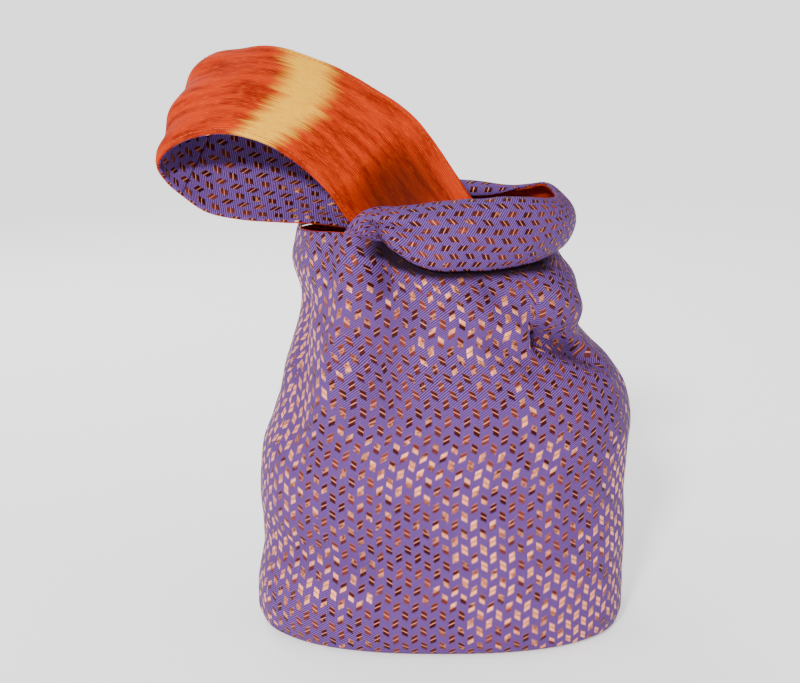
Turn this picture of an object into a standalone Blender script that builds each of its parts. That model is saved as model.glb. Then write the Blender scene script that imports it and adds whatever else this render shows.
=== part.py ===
"""Knot bag: a filled cloth bag whose long handle is pulled through the loop of its short one.

Units are metres and +Z is up. The origin is the middle of the base, on the floor.
-Y is the front, and +X is the right-hand side as seen from the front. Directions round
the bag are in degrees from +X, anticlockwise seen from above, so the front is 270.
"""

import math

import bmesh
import bpy
import numpy as np

# Body
BODY_WIDTH = 0.222
BODY_DEPTH = 0.150
BODY_HEIGHT = 0.228
FOLD_SCALE = 0.012
LEFT_SEAM = 200.0
RIGHT_SEAM = 36.0

# Cloth
OUTER_CLOTH = 0.0012
LINING_CLOTH = 0.0010
LAYER_GAP = 0.0003
SEAM_GAP = 0.0004
COLLAR_SEAT = 0.0012

# Handles. The short one is rolled into a collar round the mouth, and the long one is pulled
# through it and lies over to the left.
HANDLE_WIDTH = 0.068
LOOP_SEAM = 0.38

# Facets
BODY_COLUMNS = 54
BODY_ROWS = 15
COLLAR_STEPS = 40
COLLAR_STRIPS = 8
LOOP_STEPS = 34
LOOP_STRIPS = 5

# Colours, linear
BROCADE = (0.21, 0.145, 0.42)
SHOT_ORANGE = (0.78, 0.14, 0.035)

# A row is a level of the body: its height in body heights, the middle and half width in half
# body widths, the reach forwards and backwards in half body depths, and how square it is.
SECTIONS = (
    # height, middle, half, front, back, square
    (0.000, 0.000, 0.905, 0.85, 0.86, 2.4),
    (0.008, 0.000, 0.960, 0.91, 0.92, 2.4),
    (0.030, 0.000, 0.992, 0.96, 0.96, 2.4),
    (0.090, -0.006, 1.003, 1.00, 1.00, 2.5),
    (0.230, 0.015, 0.988, 1.01, 1.01, 2.5),
    (0.365, 0.004, 0.990, 1.04, 1.03, 2.6),
    (0.500, 0.020, 0.983, 1.06, 1.03, 2.6),
    (0.566, 0.049, 0.968, 1.06, 1.02, 2.5),
    (0.632, 0.063, 0.937, 1.05, 1.00, 2.5),
    (0.697, 0.045, 0.892, 1.03, 0.98, 2.4),
    (0.763, 0.000, 0.805, 1.00, 0.96, 2.3),
    (0.800, -0.020, 0.760, 0.98, 0.94, 2.3),
    (0.890, -0.010, 0.735, 0.93, 0.90, 2.2),
    (0.952, -0.036, 0.728, 0.88, 0.85, 2.2),
    (0.987, -0.068, 0.703, 0.82, 0.80, 2.2),
    (1.013, -0.080, 0.688, 0.79, 0.77, 2.2),
    (1.090, -0.077, 0.690, 0.74, 0.70, 2.2),
)

# The mouth's edge: its direction, and its height in body heights.
RIM = (
    # direction, height
    (0.0, 1.015),
    (45.0, 1.012),
    (90.0, 1.010),
    (135.0, 1.025),
    (156.0, 1.038),
    (176.0, 1.052),
    (192.0, 1.064),
    (206.0, 1.070),
    (218.0, 1.076),
    (229.0, 1.079),
    (239.0, 1.067),
    (249.0, 1.042),
    (259.0, 1.015),
    (271.0, 0.998),
    (295.0, 0.996),
    (317.0, 1.004),
    (342.0, 1.013),
)

# The short handle, from the left front shoulder round the mouth to the left back one. A row
# is a place along it: where its lower edge sits on the mouth, its upper edge in handle widths
# from the middle of the mouth, how far it bulges in handle widths, and how far its edges curl.
COLLAR = (
    # direction, x, y, z, bulge, curl
    (240.0, -0.82, -0.61, 0.28, 0.02, 40.0),
    (242.0, -0.77, -0.68, 0.37, 0.04, 45.0),
    (245.0, -0.70, -0.74, 0.45, 0.08, 55.0),
    (249.0, -0.61, -0.78, 0.50, 0.13, 70.0),
    (255.0, -0.50, -0.79, 0.52, 0.18, 90.0),
    (263.0, -0.36, -0.79, 0.51, 0.21, 105.0),
    (275.0, -0.14, -0.77, 0.51, 0.24, 115.0),
    (290.0, 0.14, -0.75, 0.53, 0.25, 115.0),
    (305.0, 0.43, -0.71, 0.56, 0.22, 110.0),
    (322.0, 0.71, -0.60, 0.57, 0.16, 90.0),
    (342.0, 0.98, -0.39, 0.51, 0.08, 60.0),
    (362.0, 1.13, -0.08, 0.46, 0.04, 40.0),
    (382.0, 1.05, 0.20, 0.50, 0.09, 55.0),
    (402.0, 0.80, 0.34, 0.48, 0.18, 90.0),
    (425.0, 0.49, 0.37, 0.38, 0.25, 108.0),
    (449.0, 0.07, 0.42, 0.36, 0.26, 110.0),
    (471.0, -0.38, 0.42, 0.37, 0.24, 108.0),
    (488.0, -0.76, 0.40, 0.39, 0.19, 95.0),
    (501.0, -1.03, 0.29, 0.37, 0.14, 70.0),
    (510.0, -1.17, 0.09, 0.31, 0.11, 60.0),
    (517.0, -1.22, -0.16, 0.20, 0.09, 50.0),
)
COLLAR_ROOTS = (226.0, 550.0)
COLLAR_RUN = 3.9

# Dents and ridges of the rolled front run: a line on the short handle, with how deep and how
# wide it is in handle widths, outwards where positive.
COLLAR_FOLDS = (
    # along and across where it starts, and where it ends, depth, spread
    (0.15, 0.42, 0.37, 0.28, -0.080, 0.17),
    (0.24, 0.84, 0.46, 0.30, 0.035, 0.17),
)

# The long handle, from inside the mouth out to its left-hand tip along the far run, and back
# along the near run. Both edges are in handle widths from the middle of the mouth.
LOOP = (
    # lower x, y, z, upper x, y, z, bulge
    (0.10, 0.93, -0.38, 0.66, 0.78, -0.38, 0.04),
    (0.05, 0.74, -0.26, 0.57, 0.60, -0.14, 0.04),
    (-0.19, 0.32, -0.06, 0.30, 0.42, 0.17, 0.05),
    (-0.60, -0.05, 0.17, -0.12, 0.33, 0.49, 0.05),
    (-1.02, -0.18, 0.27, -0.44, 0.37, 0.74, 0.05),
    (-1.38, -0.15, 0.28, -0.86, 0.46, 0.90, 0.05),
    (-1.73, -0.09, 0.28, -1.25, 0.42, 1.04, 0.05),
    (-2.03, -0.06, 0.34, -1.58, 0.42, 1.16, 0.05),
    (-2.25, -0.06, 0.49, -1.88, 0.42, 1.28, 0.06),
    (-2.38, -0.06, 0.61, -2.05, 0.41, 1.42, 0.07),
    (-2.43, -0.18, 0.76, -2.10, 0.35, 1.56, 0.07),
    (-2.32, -0.32, 0.91, -1.98, 0.29, 1.68, 0.07),
    (-2.11, -0.44, 1.03, -1.74, 0.25, 1.72, 0.06),
    (-1.81, -0.53, 1.08, -1.43, 0.22, 1.74, 0.05),
    (-1.48, -0.56, 1.00, -1.01, 0.18, 1.61, 0.05),
    (-1.20, -0.50, 0.81, -0.61, 0.12, 1.41, 0.05),
    (-0.97, -0.41, 0.57, -0.27, 0.06, 1.18, 0.05),
    (-0.81, -0.32, 0.32, -0.02, 0.00, 0.88, 0.05),
    (-0.52, -0.36, 0.06, 0.24, -0.16, 0.50, 0.05),
    (-0.18, -0.56, -0.12, 0.54, -0.45, 0.14, 0.05),
    (0.10, -0.78, -0.25, 0.70, -0.56, -0.12, 0.04),
    (0.20, -0.95, -0.38, 0.79, -0.76, -0.36, 0.04),
)
# Where the long handle's two ends lie against the lining, inside the mouth.
LOOP_ROOTS = (
    # end, direction of the lower edge, direction of the upper edge, height in body heights
    (0.0, 82.0, 50.0, 0.885),
    (1.0, 284.0, 315.0, 0.885),
)
ROOT_GAP = 0.0007
NEARBY = 0.01

# Folds and ridges run along a line on the body. Heights are in body heights, depth in fold
# scales, outwards where positive, and spread in half body depths.
FOLDS = (
    # direction and height where it starts, and where it ends, depth, spread
    (230.0, 1.060, 222.0, 0.620, 0.60, 0.12),
    (244.0, 1.060, 239.0, 0.780, -0.42, 0.11),
    (338.0, 0.750, 315.0, 0.815, -1.15, 0.075),
    (315.0, 0.820, 296.0, 0.940, -0.30, 0.13),
    (325.0, 0.915, 338.0, 0.890, 0.45, 0.20),
    (293.0, 0.822, 307.0, 0.765, -0.30, 0.10),
    (303.0, 0.860, 337.0, 0.715, 0.30, 0.08),
    (200.0, 0.28, 236.0, 0.24, -0.20, 0.18),
    (176.0, 0.98, 150.0, 0.80, 0.30, 0.22),
    (196.0, 0.86, 208.0, 0.60, -0.30, 0.20),
    (112.0, 0.97, 128.0, 0.66, -0.40, 0.18),
    (84.0, 0.82, 96.0, 0.52, 0.30, 0.18),
    (16.0, 0.80, 48.0, 0.77, -0.70, 0.13),
)


def spline(knots, values, at):
    """Values at the given places on a smooth curve through the knots."""
    knots = np.asarray(knots, float)
    values = np.asarray(values, float).reshape(len(knots), -1)
    at = np.asarray(at, float)
    slopes = np.gradient(values, knots, axis=0)
    i = np.clip(np.searchsorted(knots, at, side="right") - 1, 0, len(knots) - 2)
    span = (knots[i + 1] - knots[i])[:, None]
    t = (at[:, None] - knots[i][:, None]) / span
    return (
        values[i] * (1 + 2 * t) * (1 - t) ** 2
        + slopes[i] * span * t * (1 - t) ** 2
        + values[i + 1] * t * t * (3 - 2 * t)
        + slopes[i + 1] * span * t * t * (t - 1)
    )


def rim_height(direction):
    """Height of the mouth's edge in the given directions."""
    turn = np.mod(direction, 360.0)
    rows = [(d + lap, h) for lap in (-360.0, 0.0, 360.0) for d, h in RIM]
    knots, heights = zip(*rows)
    return spline(knots, heights, turn)[:, 0] * BODY_HEIGHT


def fold_offset(direction, height):
    """How far the folds push the body's wall outwards."""
    arc = math.radians(1.0) * BODY_WIDTH / 2
    total = np.zeros_like(height)
    for from_direction, from_height, to_direction, to_height, depth, spread in FOLDS:
        x = (np.mod(direction - from_direction + 180.0, 360.0) - 180.0) * arc
        y = height - from_height * BODY_HEIGHT
        run = (np.mod(to_direction - from_direction + 180.0, 360.0) - 180.0) * arc
        rise = (to_height - from_height) * BODY_HEIGHT
        along = np.clip((x * run + y * rise) / (run * run + rise * rise), 0.0, 1.0)
        away = np.hypot(x - along * run, y - along * rise)
        total += depth * FOLD_SCALE * np.exp(-((away / (spread * BODY_DEPTH / 2)) ** 2))
    return total


def body_points(direction, height):
    """Points on the outside of the body, at directions in degrees and heights in metres."""
    direction, height = np.broadcast_arrays(np.asarray(direction, float), np.asarray(height, float))
    levels = np.array(SECTIONS)
    level = spline(levels[:, 0] * BODY_HEIGHT, levels[:, 1:], height.ravel())
    middle, half, front, back, square = level.T.reshape(5, *height.shape)
    c = np.cos(np.radians(direction))
    s = np.sin(np.radians(direction))
    depth = np.where(s < 0, front, back) * BODY_DEPTH / 2
    width = half * BODY_WIDTH / 2
    radius = (np.abs(c / width) ** square + np.abs(s / depth) ** square) ** (-1 / square)
    radius = radius + fold_offset(direction, height)
    return np.stack([middle * BODY_WIDTH / 2 + radius * c, radius * s, height], axis=-1)


def across(low, high, out, bulge, curl, share, fold=0.0):
    """Points across a handle between its edges: an arc that bulges out and curls at its edges."""
    chord = high - low
    unit = chord / np.linalg.norm(chord, axis=-1, keepdims=True)
    out = out - unit * np.sum(out * unit, axis=-1, keepdims=True)
    out = out / np.linalg.norm(out, axis=-1, keepdims=True)
    limit = np.radians(curl)
    turn = (2 * share - 1) * limit
    lengthways = 0.5 + 0.5 * np.sin(turn) / np.sin(limit)
    outwards = (np.cos(turn) - np.cos(limit)) / (1 - np.cos(limit))
    reach = (bulge * outwards + fold) * HANDLE_WIDTH
    return low + chord * lengthways[..., None] + out * reach[..., None]


def mouth(table, first):
    """Points of a table's x, y and z columns, in metres."""
    return table[:, first:first + 3] * HANDLE_WIDTH + np.array([0.0, 0.0, BODY_HEIGHT])


def collar_fold(u, share):
    """How far the collar's dents and ridges push it outwards, in handle widths."""
    total = np.zeros_like(share)
    for from_u, from_share, to_u, to_share, depth, spread in COLLAR_FOLDS:
        x = (u - from_u) * COLLAR_RUN
        y = share - from_share
        run = (to_u - from_u) * COLLAR_RUN
        rise = to_share - from_share
        along = np.clip((x * run + y * rise) / (run * run + rise * rise), 0.0, 1.0)
        away = np.hypot(x - along * run, y - along * rise)
        total += depth * np.exp(-((away / spread) ** 2))
    return total * np.clip(8 * share * (1 - share), 0.0, 1.0)


def collar_section(u, share):
    """Points across the short handle at the given places along it."""
    table = np.array(COLLAR)
    knots = np.linspace(0.0, 1.0, len(table))
    direction = spline(knots, table[:, 0], u)[:, 0]
    low = body_points(direction, rim_height(direction) + COLLAR_SEAT)
    high = spline(knots, mouth(table, 1), u)
    bulge, curl = spline(knots, table[:, 4:6], u).T
    turn = np.radians(direction)
    out = np.stack([np.cos(turn), np.sin(turn), 0.0 * turn], axis=-1)
    return across(low, high, out, bulge, curl, share, collar_fold(u, share))


def collar_points(u, share):
    """Points on the outside of the short handle: u runs along it and share across it."""
    u, share = np.broadcast_arrays(np.asarray(u, float), np.asarray(share, float))
    place, part = u.ravel(), share.ravel()
    points = collar_section(place, part)
    for end, root in zip((0.0, 1.0), COLLAR_ROOTS):
        weight = np.clip(1 - np.abs(place - end) / 0.12, 0.0, 1.0) ** 2
        start = COLLAR[0 if end == 0.0 else -1][0]
        turned = start + (root - start) * part
        rooted = body_points(turned, rim_height(turned) + COLLAR_SEAT)
        points = points + (rooted - collar_section(0 * place + end, part)) * weight[:, None]
    return points.reshape(*u.shape, 3)


def loop_edges(u):
    """Lower and upper edge and bulge of the long handle at the given places."""
    table = np.array(LOOP)
    knots = np.linspace(0.0, 1.0, len(table))
    low = spline(knots, mouth(table, 0), u)
    high = spline(knots, mouth(table, 3), u)
    return low, high, spline(knots, table[:, 6], u)[:, 0]


def inside(points, first, second, steps, depth):
    """Points a depth below a surface, measured along its normals."""
    du = points(first + steps[0], second) - points(first - steps[0], second)
    dv = points(first, second + steps[1]) - points(first, second - steps[1])
    normal = np.cross(du, dv)
    normal /= np.linalg.norm(normal, axis=-1, keepdims=True)
    return points(first, second) - normal * depth


def loop_section(u, share):
    """Points across the long handle at the given places along it."""
    low, high, bulge = loop_edges(u)
    before = loop_edges(u - NEARBY)
    after = loop_edges(u + NEARBY)
    along = after[0] + after[1] - before[0] - before[1]
    out = np.cross(along, high - low)
    return across(low, high, out, bulge, np.full_like(bulge, 40.0), share)


def loop_points(u, share):
    """Points on the outside of the long handle: u runs along it and share across it."""
    u, share = np.broadcast_arrays(np.asarray(u, float), np.asarray(share, float))
    place, part = u.ravel(), share.ravel()
    points = loop_section(place, part)
    depth = OUTER_CLOTH + LAYER_GAP + LINING_CLOTH + ROOT_GAP
    for end, start, root, height in LOOP_ROOTS:
        weight = np.clip(1 - np.abs(place - end) / 0.13, 0.0, 1.0) ** 2
        turned = start + (root - start) * part
        level = np.full_like(turned, height * BODY_HEIGHT)
        rooted = inside(body_points, turned, level, (0.5, 0.0005), depth)
        points = points + (rooted - loop_section(0 * place + end, part)) * weight[:, None]
    return points.reshape(*u.shape, 3)


def finish(name, vertices, faces, color):
    """An object made of a closed list of faces, with its normals outwards."""
    mesh = bpy.data.meshes.new(name)
    body = bmesh.new()
    corners = [body.verts.new(v) for v in vertices]
    for face in faces:
        body.faces.new([corners[i] for i in face])
    bmesh.ops.recalc_face_normals(body, faces=body.faces[:])
    bmesh.ops.triangulate(body, faces=body.faces[:])
    body.to_mesh(mesh)
    body.free()
    piece = bpy.data.objects.new(name, mesh)
    bpy.context.collection.objects.link(piece)
    for polygon in mesh.polygons:
        polygon.use_smooth = True
    cloth = bpy.data.materials.new(name)
    cloth.use_nodes = True
    shader = cloth.node_tree.nodes["Principled BSDF"]
    shader.inputs["Base Color"].default_value = (*color, 1.0)
    shader.inputs["Roughness"].default_value = 0.6
    mesh.materials.append(cloth)
    return piece


def sheet(name, outer, inner, color):
    """A cloth piece from two equal grids of points, its outer and inner side."""
    rows, columns = outer.shape[:2]
    count = rows * columns
    number = np.arange(count).reshape(rows, columns)
    faces = []
    for side in (number, number + count):
        for i in range(rows - 1):
            for j in range(columns - 1):
                faces.append((side[i, j], side[i, j + 1], side[i + 1, j + 1]))
                faces.append((side[i, j], side[i + 1, j + 1], side[i + 1, j]))
    ring = [*number[0, :], *number[1:, -1], *number[-1, -2::-1], *number[-2:0:-1, 0]]
    for here, there in zip(ring, ring[1:] + ring[:1]):
        faces.append((here, there, there + count, here + count))
    vertices = np.concatenate([outer.reshape(-1, 3), inner.reshape(-1, 3)])
    return finish(name, vertices, faces, color)


def panel_directions(start, end):
    """Directions of a panel's columns, a seam's clearance short of its two side seams."""
    clearance = math.degrees(SEAM_GAP / BODY_WIDTH)
    columns = round(BODY_COLUMNS * (end - start) / 360.0)
    return np.linspace(start + clearance, end - clearance, columns + 1)


def body_grid(direction, depth):
    """Grid of points up the body's wall, a depth below its outer side."""
    share = np.linspace(0.0, 1.0, BODY_ROWS + 1)
    share = share - 0.10 * np.sin(2 * math.pi * share) / (2 * math.pi)
    low = OUTER_CLOTH + LAYER_GAP
    turn = np.repeat(direction[None, :], len(share), axis=0)
    height = low + (rim_height(direction)[None, :] - low) * share[:, None]
    return inside(body_points, turn, height, (0.5, 0.0005), depth)


def panel(name, start, end):
    """An outer panel of the body between two side seams."""
    direction = panel_directions(start, end)
    outer = body_grid(direction, 0.0)
    inner = body_grid(direction, OUTER_CLOTH)
    inner[0, :, 2] = outer[0, :, 2]
    inner[-1, :, 2] = np.minimum(inner[-1, :, 2], outer[-1, :, 2])
    return sheet(name, outer, inner, BROCADE)


def base(name):
    """The flat oval base."""
    direction = np.linspace(0.0, 360.0, BODY_COLUMNS + 1)[:-1]
    edge = body_points(direction, 0.0)
    count = len(edge)
    vertices = [*edge, *(edge + np.array([0.0, 0.0, OUTER_CLOTH]))]
    faces = [tuple(range(count)), tuple(range(count, 2 * count))]
    for i in range(count):
        j = (i + 1) % count
        faces.append((i, j, j + count, i + count))
    return finish(name, vertices, faces, BROCADE)


def cup(name):
    """The body's lining: a floor and a wall in one piece."""
    front = panel_directions(LEFT_SEAM, RIGHT_SEAM + 360.0)
    back = panel_directions(RIGHT_SEAM + 360.0, LEFT_SEAM + 360.0)
    direction = np.concatenate([front, back])
    under = OUTER_CLOTH + LAYER_GAP
    outer = body_grid(direction, under)[1:]
    inner = body_grid(direction, under + LINING_CLOTH)[1:]
    outer[-1, :, 2] = np.minimum(outer[-1, :, 2], rim_height(direction))
    inner[-1, :, 2] = np.minimum(inner[-1, :, 2], rim_height(direction))
    floors = []
    for wall, height in ((outer, under + LAYER_GAP), (inner, under + LAYER_GAP + LINING_CLOTH)):
        foot = wall[0] * np.array([0.91, 0.87, 0.0]) + np.array([0.0, 0.0, height])
        floors.append((foot * np.array([0.5, 0.5, 1.0]), foot))
    rings = [*floors[0], *outer, *inner[::-1], *floors[1][::-1]]
    count = len(direction)
    vertices = [point for ring in rings for point in ring]
    vertices += [(0.0, 0.0, rings[0][0, 2]), (0.0, 0.0, rings[-1][0, 2])]
    faces = []
    for level in range(len(rings) - 1):
        for i in range(count):
            j = (i + 1) % count
            a, b = level * count, (level + 1) * count
            if level < len(rings) / 2:
                faces.append((a + i, a + j, b + j))
                faces.append((a + i, b + j, b + i))
            else:
                faces.append((a + i, a + j, b + i))
                faces.append((a + j, b + j, b + i))
    last = (len(rings) - 1) * count
    for i in range(count):
        j = (i + 1) % count
        faces.append((i, j, len(rings) * count))
        faces.append((last + i, last + j, len(rings) * count + 1))
    return finish(name, vertices, faces, SHOT_ORANGE)


def handle(name, points, u, strips, top, thickness, color):
    """A layer of a handle at places along it, its top side a depth below the surface."""
    u, share = np.meshgrid(u, np.linspace(0.0, 1.0, strips + 1), indexing="ij")
    reach = (0.004, 0.02)
    outer = inside(points, u, share, reach, top)
    inner = inside(points, u, share, reach, top + thickness)
    return sheet(name, outer, inner, color)


for item in list(bpy.data.objects):
    bpy.data.objects.remove(item)

panel("outer_front", LEFT_SEAM, RIGHT_SEAM + 360.0)
panel("outer_back", RIGHT_SEAM, LEFT_SEAM)
base("outer_base")
cup("body_lining")

second = OUTER_CLOTH + LAYER_GAP
u = np.linspace(0.0, 1.0, COLLAR_STEPS + 1)
handle("short_handle", collar_points, u, COLLAR_STRIPS, 0.0, OUTER_CLOTH, BROCADE)
handle("short_handle_lining", collar_points, u[2:-2], COLLAR_STRIPS, second, LINING_CLOTH,
       SHOT_ORANGE)

second = LINING_CLOTH + LAYER_GAP
u = np.linspace(0.0, 1.0, LOOP_STEPS + 1)
seam = round(LOOP_SEAM * LOOP_STEPS)
far = np.append(u[:seam], u[seam] - 0.0006)
near = np.insert(u[seam + 1:], 0, u[seam] + 0.0006)
handle("long_handle_lining", loop_points, u, LOOP_STRIPS, 0.0, LINING_CLOTH, SHOT_ORANGE)
handle("long_handle_back", loop_points, far, LOOP_STRIPS, second, OUTER_CLOTH, BROCADE)
handle("long_handle_front", loop_points, near, LOOP_STRIPS, second, OUTER_CLOTH, BROCADE)
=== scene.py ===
"""Looks of the knot bag: brocade outside, shot orange ikat inside, standing on a pale floor.

The bag is a filled cloth body on a flat base. Its short handle is rolled into a collar round
the mouth, and the long one is pulled through it and lies over to the left. Units are metres
and +Z is up; directions round the bag are in degrees from +X, anticlockwise seen from above,
so the front is 270. The shapes repeat the solids' own tables with a finer grid.
"""

import math

import bmesh
import bpy
import numpy as np
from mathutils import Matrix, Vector


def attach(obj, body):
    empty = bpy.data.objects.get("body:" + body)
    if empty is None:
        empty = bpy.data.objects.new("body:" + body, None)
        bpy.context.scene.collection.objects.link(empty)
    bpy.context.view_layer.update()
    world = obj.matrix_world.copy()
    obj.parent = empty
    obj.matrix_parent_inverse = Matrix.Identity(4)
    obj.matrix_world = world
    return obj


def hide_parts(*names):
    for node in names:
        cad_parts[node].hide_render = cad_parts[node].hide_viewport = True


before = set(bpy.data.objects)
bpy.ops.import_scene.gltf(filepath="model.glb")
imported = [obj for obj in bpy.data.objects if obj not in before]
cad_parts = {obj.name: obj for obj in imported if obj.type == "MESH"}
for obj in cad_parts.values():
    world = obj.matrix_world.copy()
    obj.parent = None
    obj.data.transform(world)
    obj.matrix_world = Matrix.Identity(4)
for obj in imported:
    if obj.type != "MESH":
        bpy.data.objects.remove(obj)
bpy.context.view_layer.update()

# Body
BODY_WIDTH = 0.222
BODY_DEPTH = 0.150
BODY_HEIGHT = 0.228
FOLD_SCALE = 0.012
LEFT_SEAM = 200.0
RIGHT_SEAM = 36.0

# Cloth
OUTER_CLOTH = 0.0012
LINING_CLOTH = 0.0010
LAYER_GAP = 0.0003
COLLAR_SEAT = 0.0011

# Handles. The short one is rolled into a collar round the mouth, and the long one is pulled
# through it and lies over to the left.
HANDLE_WIDTH = 0.068
LOOP_SEAM = 0.38
# The share of its length over which each end of a handle turns over to its root
COLLAR_BLEND = 0.12
LOOP_BLEND = 0.13
LOOP_CURL = 40.0

# A row is a level of the body: its height in body heights, the middle and half width in half
# body widths, the reach forwards and backwards in half body depths, and how square it is.
SECTIONS = (
    # height, middle, half, front, back, square
    (0.000, 0.000, 0.905, 0.85, 0.86, 2.4),
    (0.008, 0.000, 0.960, 0.91, 0.92, 2.4),
    (0.030, 0.000, 0.992, 0.96, 0.96, 2.4),
    (0.090, -0.006, 1.003, 1.00, 1.00, 2.5),
    (0.230, 0.015, 0.988, 1.01, 1.01, 2.5),
    (0.365, 0.004, 0.990, 1.04, 1.03, 2.6),
    (0.500, 0.020, 0.983, 1.06, 1.03, 2.6),
    (0.566, 0.049, 0.968, 1.06, 1.02, 2.5),
    (0.632, 0.063, 0.937, 1.05, 1.00, 2.5),
    (0.697, 0.045, 0.892, 1.03, 0.98, 2.4),
    (0.763, 0.000, 0.805, 1.00, 0.96, 2.3),
    (0.800, -0.020, 0.760, 0.98, 0.94, 2.3),
    (0.890, -0.010, 0.735, 0.93, 0.90, 2.2),
    (0.952, -0.036, 0.728, 0.88, 0.85, 2.2),
    (0.987, -0.068, 0.703, 0.82, 0.80, 2.2),
    (1.013, -0.080, 0.688, 0.79, 0.77, 2.2),
    (1.090, -0.077, 0.690, 0.74, 0.70, 2.2),
)

# The mouth's edge: its direction, and its height in body heights.
RIM = (
    # direction, height
    (0.0, 1.015),
    (45.0, 1.012),
    (90.0, 1.010),
    (135.0, 1.032),
    (156.0, 1.045),
    (176.0, 1.052),
    (192.0, 1.064),
    (206.0, 1.070),
    (218.0, 1.076),
    (229.0, 1.079),
    (239.0, 1.067),
    (249.0, 1.042),
    (259.0, 1.030),
    (271.0, 1.020),
    (295.0, 1.018),
    (317.0, 1.020),
    (342.0, 1.018),
)

# The short handle, from the left front shoulder round the mouth to the left back one. A row
# is a place along it: where its lower edge sits on the mouth, its upper edge in handle widths
# from the middle of the mouth, how far it bulges in handle widths, and how far its edges curl.
COLLAR = (
    # direction, x, y, z, bulge, curl
    (240.0, -0.82, -0.61, 0.28, 0.02, 40.0),
    (242.0, -0.77, -0.68, 0.37, 0.04, 45.0),
    (245.0, -0.70, -0.74, 0.45, 0.08, 55.0),
    (249.0, -0.61, -0.78, 0.50, 0.13, 70.0),
    (255.0, -0.50, -0.79, 0.52, 0.18, 90.0),
    (263.0, -0.36, -0.79, 0.51, 0.21, 105.0),
    (275.0, -0.14, -0.77, 0.51, 0.24, 115.0),
    (290.0, 0.14, -0.75, 0.53, 0.25, 115.0),
    (305.0, 0.43, -0.71, 0.56, 0.22, 110.0),
    (322.0, 0.69, -0.60, 0.56, 0.19, 98.0),
    (342.0, 0.88, -0.40, 0.52, 0.17, 88.0),
    (362.0, 0.96, -0.09, 0.51, 0.17, 84.0),
    (382.0, 0.88, 0.17, 0.57, 0.18, 84.0),
    (402.0, 0.70, 0.33, 0.51, 0.21, 108.0),
    (425.0, 0.46, 0.39, 0.43, 0.27, 126.0),
    (449.0, 0.07, 0.43, 0.41, 0.28, 128.0),
    (471.0, -0.38, 0.43, 0.40, 0.26, 124.0),
    (488.0, -0.76, 0.41, 0.40, 0.20, 100.0),
    (501.0, -1.03, 0.29, 0.37, 0.14, 70.0),
    (510.0, -1.17, 0.09, 0.31, 0.11, 60.0),
    (517.0, -1.22, -0.16, 0.20, 0.09, 50.0),
)
COLLAR_ROOTS = (226.0, 550.0)
COLLAR_RUN = 3.9

# Dents and ridges of the rolled front run: a line on the short handle, with how deep and how
# wide it is in handle widths, outwards where positive.
COLLAR_FOLDS = (
    # along and across where it starts, and where it ends, depth, spread
    (0.12, 0.56, 0.27, 0.44, -0.070, 0.12),
    (0.12, 0.90, 0.42, 0.34, 0.045, 0.10),
)

# How far the rolled front run hangs over the body below it, and where.
DROOP = 0.0050
DROOP_MIDDLE = 0.36
DROOP_RUN = 0.14
DROOP_SHARE = 0.17
DROOP_SPREAD = 0.16
DROOP_SEAT = 0.15

# The long handle, from inside the mouth out to its left-hand tip along the far run, and back
# along the near run. Both edges are in handle widths from the middle of the mouth.
LOOP = (
    # lower x, y, z, upper x, y, z, bulge
    (0.10, 0.93, -0.38, 0.66, 0.78, -0.38, 0.04),
    (0.05, 0.74, -0.26, 0.57, 0.60, -0.14, 0.04),
    (-0.19, 0.32, -0.06, 0.30, 0.42, 0.17, 0.05),
    (-0.60, -0.05, 0.15, -0.12, 0.33, 0.49, 0.05),
    (-1.02, -0.18, 0.25, -0.44, 0.37, 0.74, 0.05),
    (-1.38, -0.15, 0.265, -0.86, 0.46, 0.90, 0.05),
    (-1.73, -0.09, 0.28, -1.25, 0.42, 1.04, 0.05),
    (-2.03, -0.06, 0.34, -1.58, 0.42, 1.16, 0.05),
    (-2.25, -0.06, 0.49, -1.88, 0.42, 1.28, 0.06),
    (-2.38, -0.06, 0.61, -2.05, 0.41, 1.42, 0.07),
    (-2.43, -0.18, 0.76, -2.10, 0.35, 1.56, 0.07),
    (-2.32, -0.32, 0.91, -1.98, 0.29, 1.68, 0.07),
    (-2.11, -0.44, 1.03, -1.74, 0.25, 1.72, 0.06),
    (-1.81, -0.53, 1.08, -1.43, 0.22, 1.74, 0.05),
    (-1.48, -0.56, 1.00, -1.01, 0.18, 1.61, 0.05),
    (-1.20, -0.50, 0.81, -0.61, 0.12, 1.41, 0.05),
    (-0.97, -0.41, 0.57, -0.27, 0.06, 1.18, 0.05),
    (-0.81, -0.32, 0.32, -0.02, 0.00, 0.88, 0.05),
    (-0.52, -0.36, 0.06, 0.24, -0.16, 0.50, 0.05),
    (-0.18, -0.56, -0.12, 0.54, -0.45, 0.14, 0.05),
    (0.10, -0.78, -0.25, 0.70, -0.56, -0.12, 0.04),
    (0.20, -0.95, -0.38, 0.79, -0.76, -0.36, 0.04),
)
# Where the long handle's two ends lie against the lining, inside the mouth.
LOOP_ROOTS = (
    # end, direction of the lower edge, direction of the upper edge, height in body heights
    (0.0, 82.0, 50.0, 0.885),
    (1.0, 284.0, 315.0, 0.885),
)
ROOT_GAP = 0.0007
ROOT_STEPS = (0.5, 0.0005)
# Soft channels along the handle where it turns back at its tip, in handle widths.
TIP = 0.49
TIP_RUN = 0.055
TIP_WAVE = 0.020
TIP_WAVES = 2.6
NEARBY = 0.01

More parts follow.
